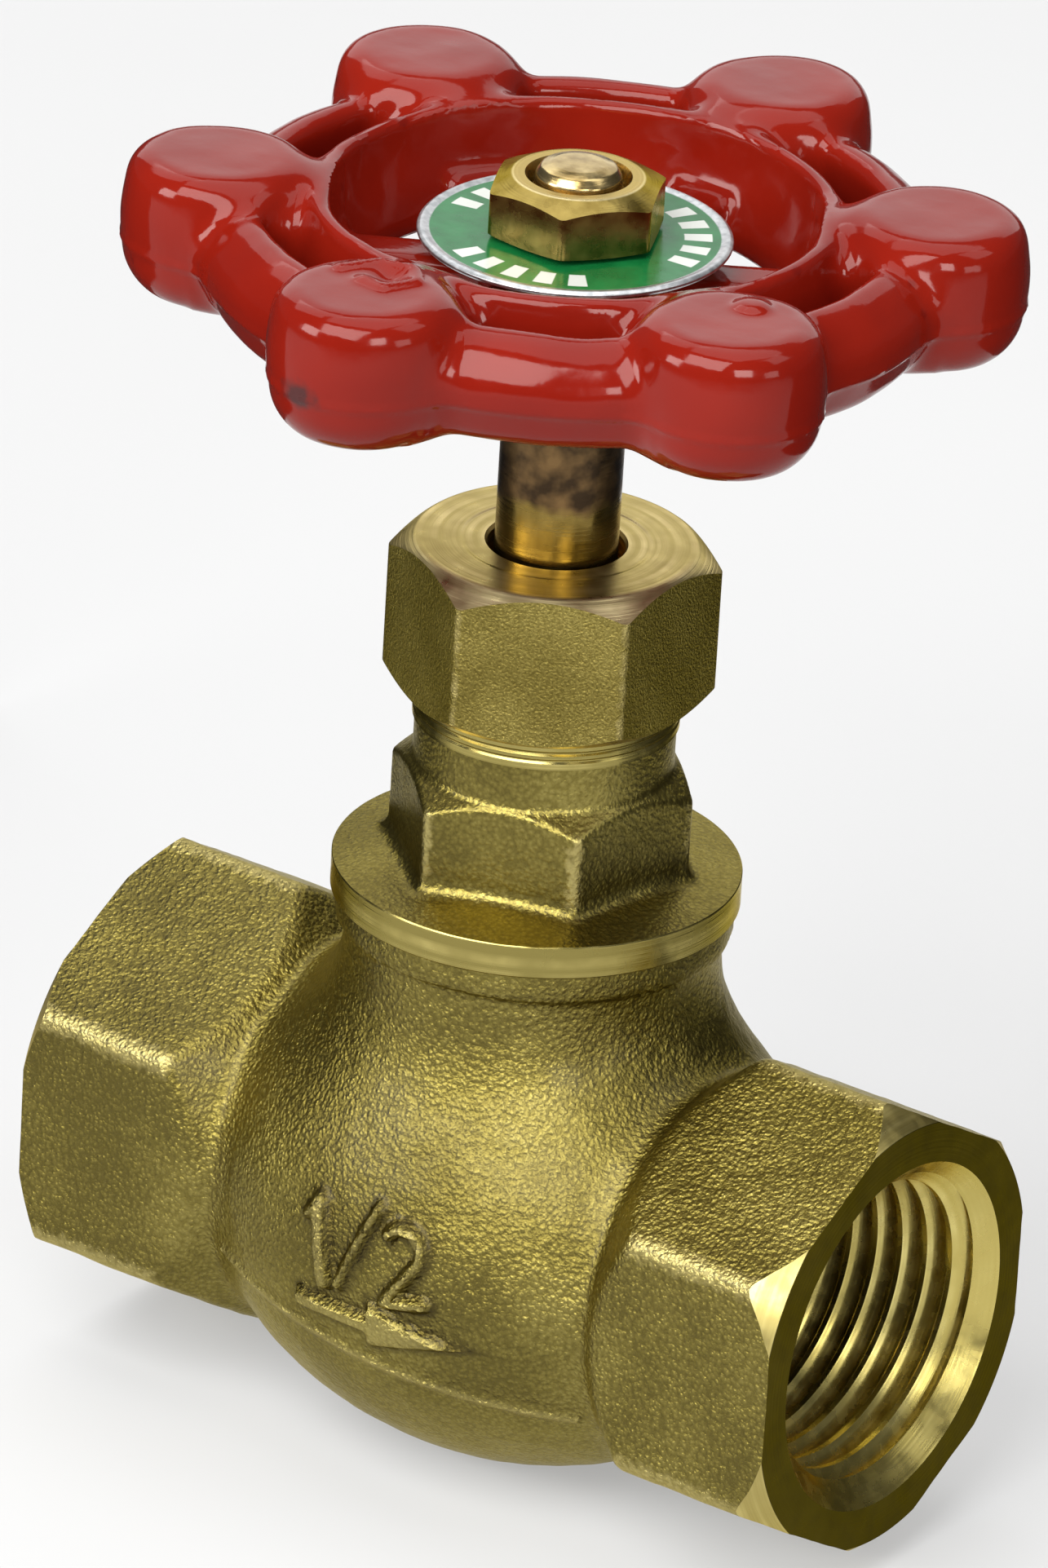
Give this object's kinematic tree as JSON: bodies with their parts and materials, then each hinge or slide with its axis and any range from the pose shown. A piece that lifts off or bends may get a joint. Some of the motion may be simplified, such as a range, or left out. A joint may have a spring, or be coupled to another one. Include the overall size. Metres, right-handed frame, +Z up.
{
  "type": "globe valve",
  "caption": "Threaded brass globe valve with a round cast belly, hexagon pipe ends, a screwed bonnet, a packing nut, a rising stem and a red lobed handwheel.",
  "frame": {"origin": "on the stem axis at the lowest point of the body's belly, which is the bottom centre of the bounding box; the pipe axis crosses the stem axis 16 mm above it", "axes": "+X along the pipe axis in the direction of flow, out of the outlet port; +Z up along the stem to the handwheel; +Y completes the right-handed frame"},
  "size_m": [0.0556, 0.0536, 0.0833],
  "materials": {
    "cast_brass": "sand cast, fine grained, satin",
    "machined_brass": "turned, bright with fine tool marks",
    "stem_brass": "turned, heat stained near the top",
    "red_enamel": "thick glossy red enamel over an uneven casting",
    "printed_plate": "green printed face with a bare rim",
    "packing_fibre": "graphited packing",
    "gasket_fibre": "pressed fibre",
    "seat_rubber": "moulded nitrile"
  },
  "bodies": {
    "valve_body": {"body": "cast_brass", "bonnet": "cast_brass", "bonnet_gasket": "gasket_fibre", "packing_ring_1": "packing_fibre", "packing_ring_2": "packing_fibre", "packing_ring_3": "packing_fibre", "packing_gland": "machined_brass", "packing_nut": "machined_brass"},
    "disc": {"disc_holder": "machined_brass", "seat_disc": "seat_rubber", "disc_washer": "machined_brass", "disc_nut": "machined_brass"},
    "stem": {"stem": "stem_brass", "handwheel": "red_enamel", "nameplate": "printed_plate", "wheel_nut": "machined_brass"}
  },
  "joints": [
    {"name": "disc_lift", "type": "slide", "parent": "valve_body", "child": "disc", "axis": [0, 0, 1], "range_m": [-0.00635, 0]},
    {"name": "stem_turn", "type": "hinge", "parent": "disc", "child": "stem", "pos_m": [0, 0, 0.016], "axis": [0, 0, 1], "range_deg": [-1080, 0]}
  ],
  "couplings": [
    {"joint": "disc_lift", "follows": "stem_turn", "m_per_rad": 0.00033688}
  ]
}
